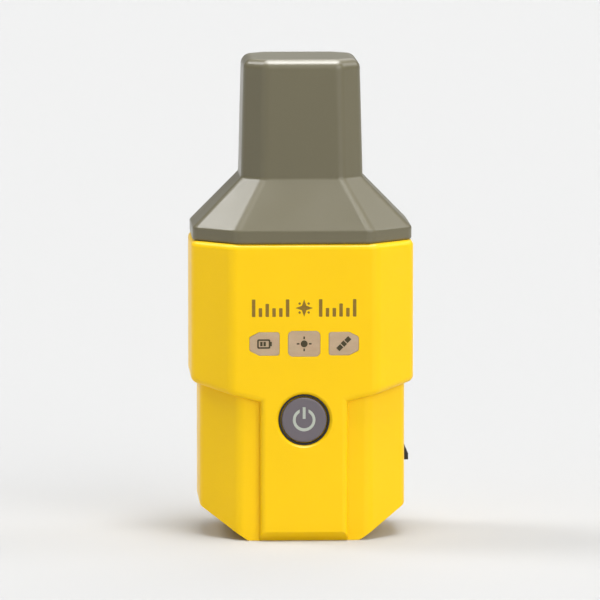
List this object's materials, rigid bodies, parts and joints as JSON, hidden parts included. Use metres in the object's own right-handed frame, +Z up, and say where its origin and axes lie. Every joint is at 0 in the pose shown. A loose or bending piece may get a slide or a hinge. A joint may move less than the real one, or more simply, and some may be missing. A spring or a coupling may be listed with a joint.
{
  "type": "gnss receiver",
  "caption": "Pocket satellite-positioning receiver: eight-sided yellow housing with a collar and spine, grey stepped antenna column, power button, status lights and side port door.",
  "frame": {"origin": "centre of the flat base the receiver stands on", "axes": "-Y out of the front with the power button, +X to the side with the port door, +Z up along the antenna column"},
  "size_m": [0.0608, 0.05, 0.131],
  "materials": {
    "yellow_plastic": "satin moulded yellow plastic with a fine spark texture",
    "grey_plastic": "satin warm grey moulded plastic with a fine spark texture",
    "dark_plastic": "satin dark grey plastic",
    "dark_rubber": "matte black moulded rubber",
    "icon_white": "light grey second-shot plastic",
    "light_lens": "translucent beige light guide",
    "inner_plastic": "black glass-filled plastic",
    "white_plastic": "natural white plastic",
    "seal_rubber": "black silicone",
    "brass": "turned brass",
    "screw_steel": "stainless steel",
    "can_steel": "tin-plated steel sheet",
    "board_green": "green solder mask over glass laminate",
    "chip_black": "black moulded packages",
    "copper": "copper strip",
    "battery_pouch": "aluminium laminate pouch",
    "aluminium_sheet": "plain aluminium sheet",
    "foam_grey": "closed-cell foam",
    "label_film": "blank satin polyester label",
    "print_ink": null,
    "cable_jacket": "black coaxial jacket"
  },
  "bodies": {
    "receiver": {"housing": "yellow_plastic", "radome": "grey_plastic", "radome_gasket": "seal_rubber", "radome_screws": "screw_steel", "pole_insert": "brass", "base_screws": "screw_steel", "base_screw_seals": "seal_rubber", "button_bezel": "dark_rubber", "tact_switch": "chip_black", "light_window_left": "light_lens", "light_window_centre": "light_lens", "light_window_right": "light_lens", "status_leds": "white_plastic", "door_pin": "screw_steel", "rear_label": "label_film", "vent_plug": "dark_plastic", "chassis": "inner_plastic", "main_board": "board_green", "panel_board": "board_green", "board_standoffs": "brass", "panel_screws": "screw_steel", "board_link": "chip_black", "positioning_can": "can_steel", "radio_can": "can_steel", "board_chips": "chip_black", "usb_socket": "can_steel", "usb_gasket": "foam_grey", "battery_cells": "battery_pouch", "battery_board": "board_green", "battery_connector": "chip_black", "battery_foam": "foam_grey", "battery_bracket": "aluminium_sheet", "bracket_screws": "screw_steel", "ground_plane": "aluminium_sheet", "antenna_board": "board_green", "antenna_board_screws": "screw_steel", "amplifier_can": "can_steel", "radio_socket": "brass", "coax_link": "cable_jacket", "antenna_former": "white_plastic", "antenna_cap_board": "board_green", "antenna_foam": "foam_grey", "antenna_arms": "copper"},
    "power_button": {"button_cap": "dark_plastic", "button_icon": "icon_white", "button_o_ring": "seal_rubber", "button_clip": "screw_steel"},
    "switch_plunger": {"switch_plunger": "white_plastic"},
    "port_door": {"port_door": "dark_rubber", "door_seal": "seal_rubber"}
  },
  "joints": [
    {"name": "button_press", "type": "slide", "parent": "receiver", "child": "power_button", "axis": [0, 1, 0], "range_m": [0, 0.0004], "stiffness_N_per_m": 700, "springref_m": -0.0006},
    {"name": "switch_press", "type": "slide", "parent": "receiver", "child": "switch_plunger", "axis": [0, 1, 0], "range_m": [0, 0.0004]},
    {"name": "door_hinge", "type": "hinge", "parent": "receiver", "child": "port_door", "pos_m": [0.0268, 0, 0.0396], "axis": [0, -1, 0], "range_deg": [0, 110]}
  ],
  "couplings": [
    {"joint": "switch_press", "follows": "button_press", "ratio": 1}
  ]
}
